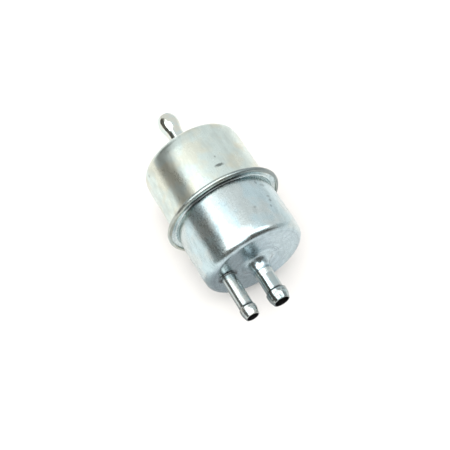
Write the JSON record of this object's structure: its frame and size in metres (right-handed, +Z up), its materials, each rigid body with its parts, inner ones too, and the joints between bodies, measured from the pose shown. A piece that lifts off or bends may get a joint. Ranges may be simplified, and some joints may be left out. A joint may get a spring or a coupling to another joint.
{
  "type": "in-line fuel filter",
  "caption": "In-line fuel filter: plated steel canister of drawn cups with a rolled seam, and beaded hose tubes for inlet, outlet and vapour return.",
  "frame": {"origin": "middle of the overall length, on the canister's axis", "axes": "+X along the canister's axis from the inlet to the outlet, +Z up as it lies, return tube on the -Y side of the outlet tube"},
  "size_m": [0.1048, 0.0536, 0.0537],
  "materials": {
    "zinc_shell": "bright zinc plate, clear blue passivate, satin",
    "zinc_tube": "bright zinc plate, clear blue passivate, glossier than the shells",
    "zinc_braze": "plated braze metal, dull",
    "gasket_rubber": "matt",
    "orifice_brass": "turned",
    "spring_steel": "bright drawn wire",
    "tin_plate": "tin plate, satin",
    "adhesive": "cured adhesive, dull",
    "filter_paper": "resin-treated filter paper, matt",
    "grommet_rubber": "matt, fuel-resistant rubber"
  },
  "bodies": {
    "root": {"inlet_shell": "zinc_shell", "outlet_shell": "zinc_shell", "inlet_tube": "zinc_tube", "outlet_tube": "zinc_tube", "return_tube": "zinc_tube", "inlet_braze_ring": "zinc_braze", "outlet_braze_ring": "zinc_braze", "return_braze_ring": "zinc_braze", "seam_gasket": "gasket_rubber", "return_orifice": "orifice_brass", "element_spring": "spring_steel", "spring_seat": "tin_plate", "inlet_end_cap": "tin_plate", "outlet_end_cap": "tin_plate", "inlet_potting": "adhesive", "outlet_potting": "adhesive", "pleated_media": "filter_paper", "media_clip": "tin_plate", "core_tube": "tin_plate", "outlet_grommet": "grommet_rubber"}
  },
  "joints": []
}
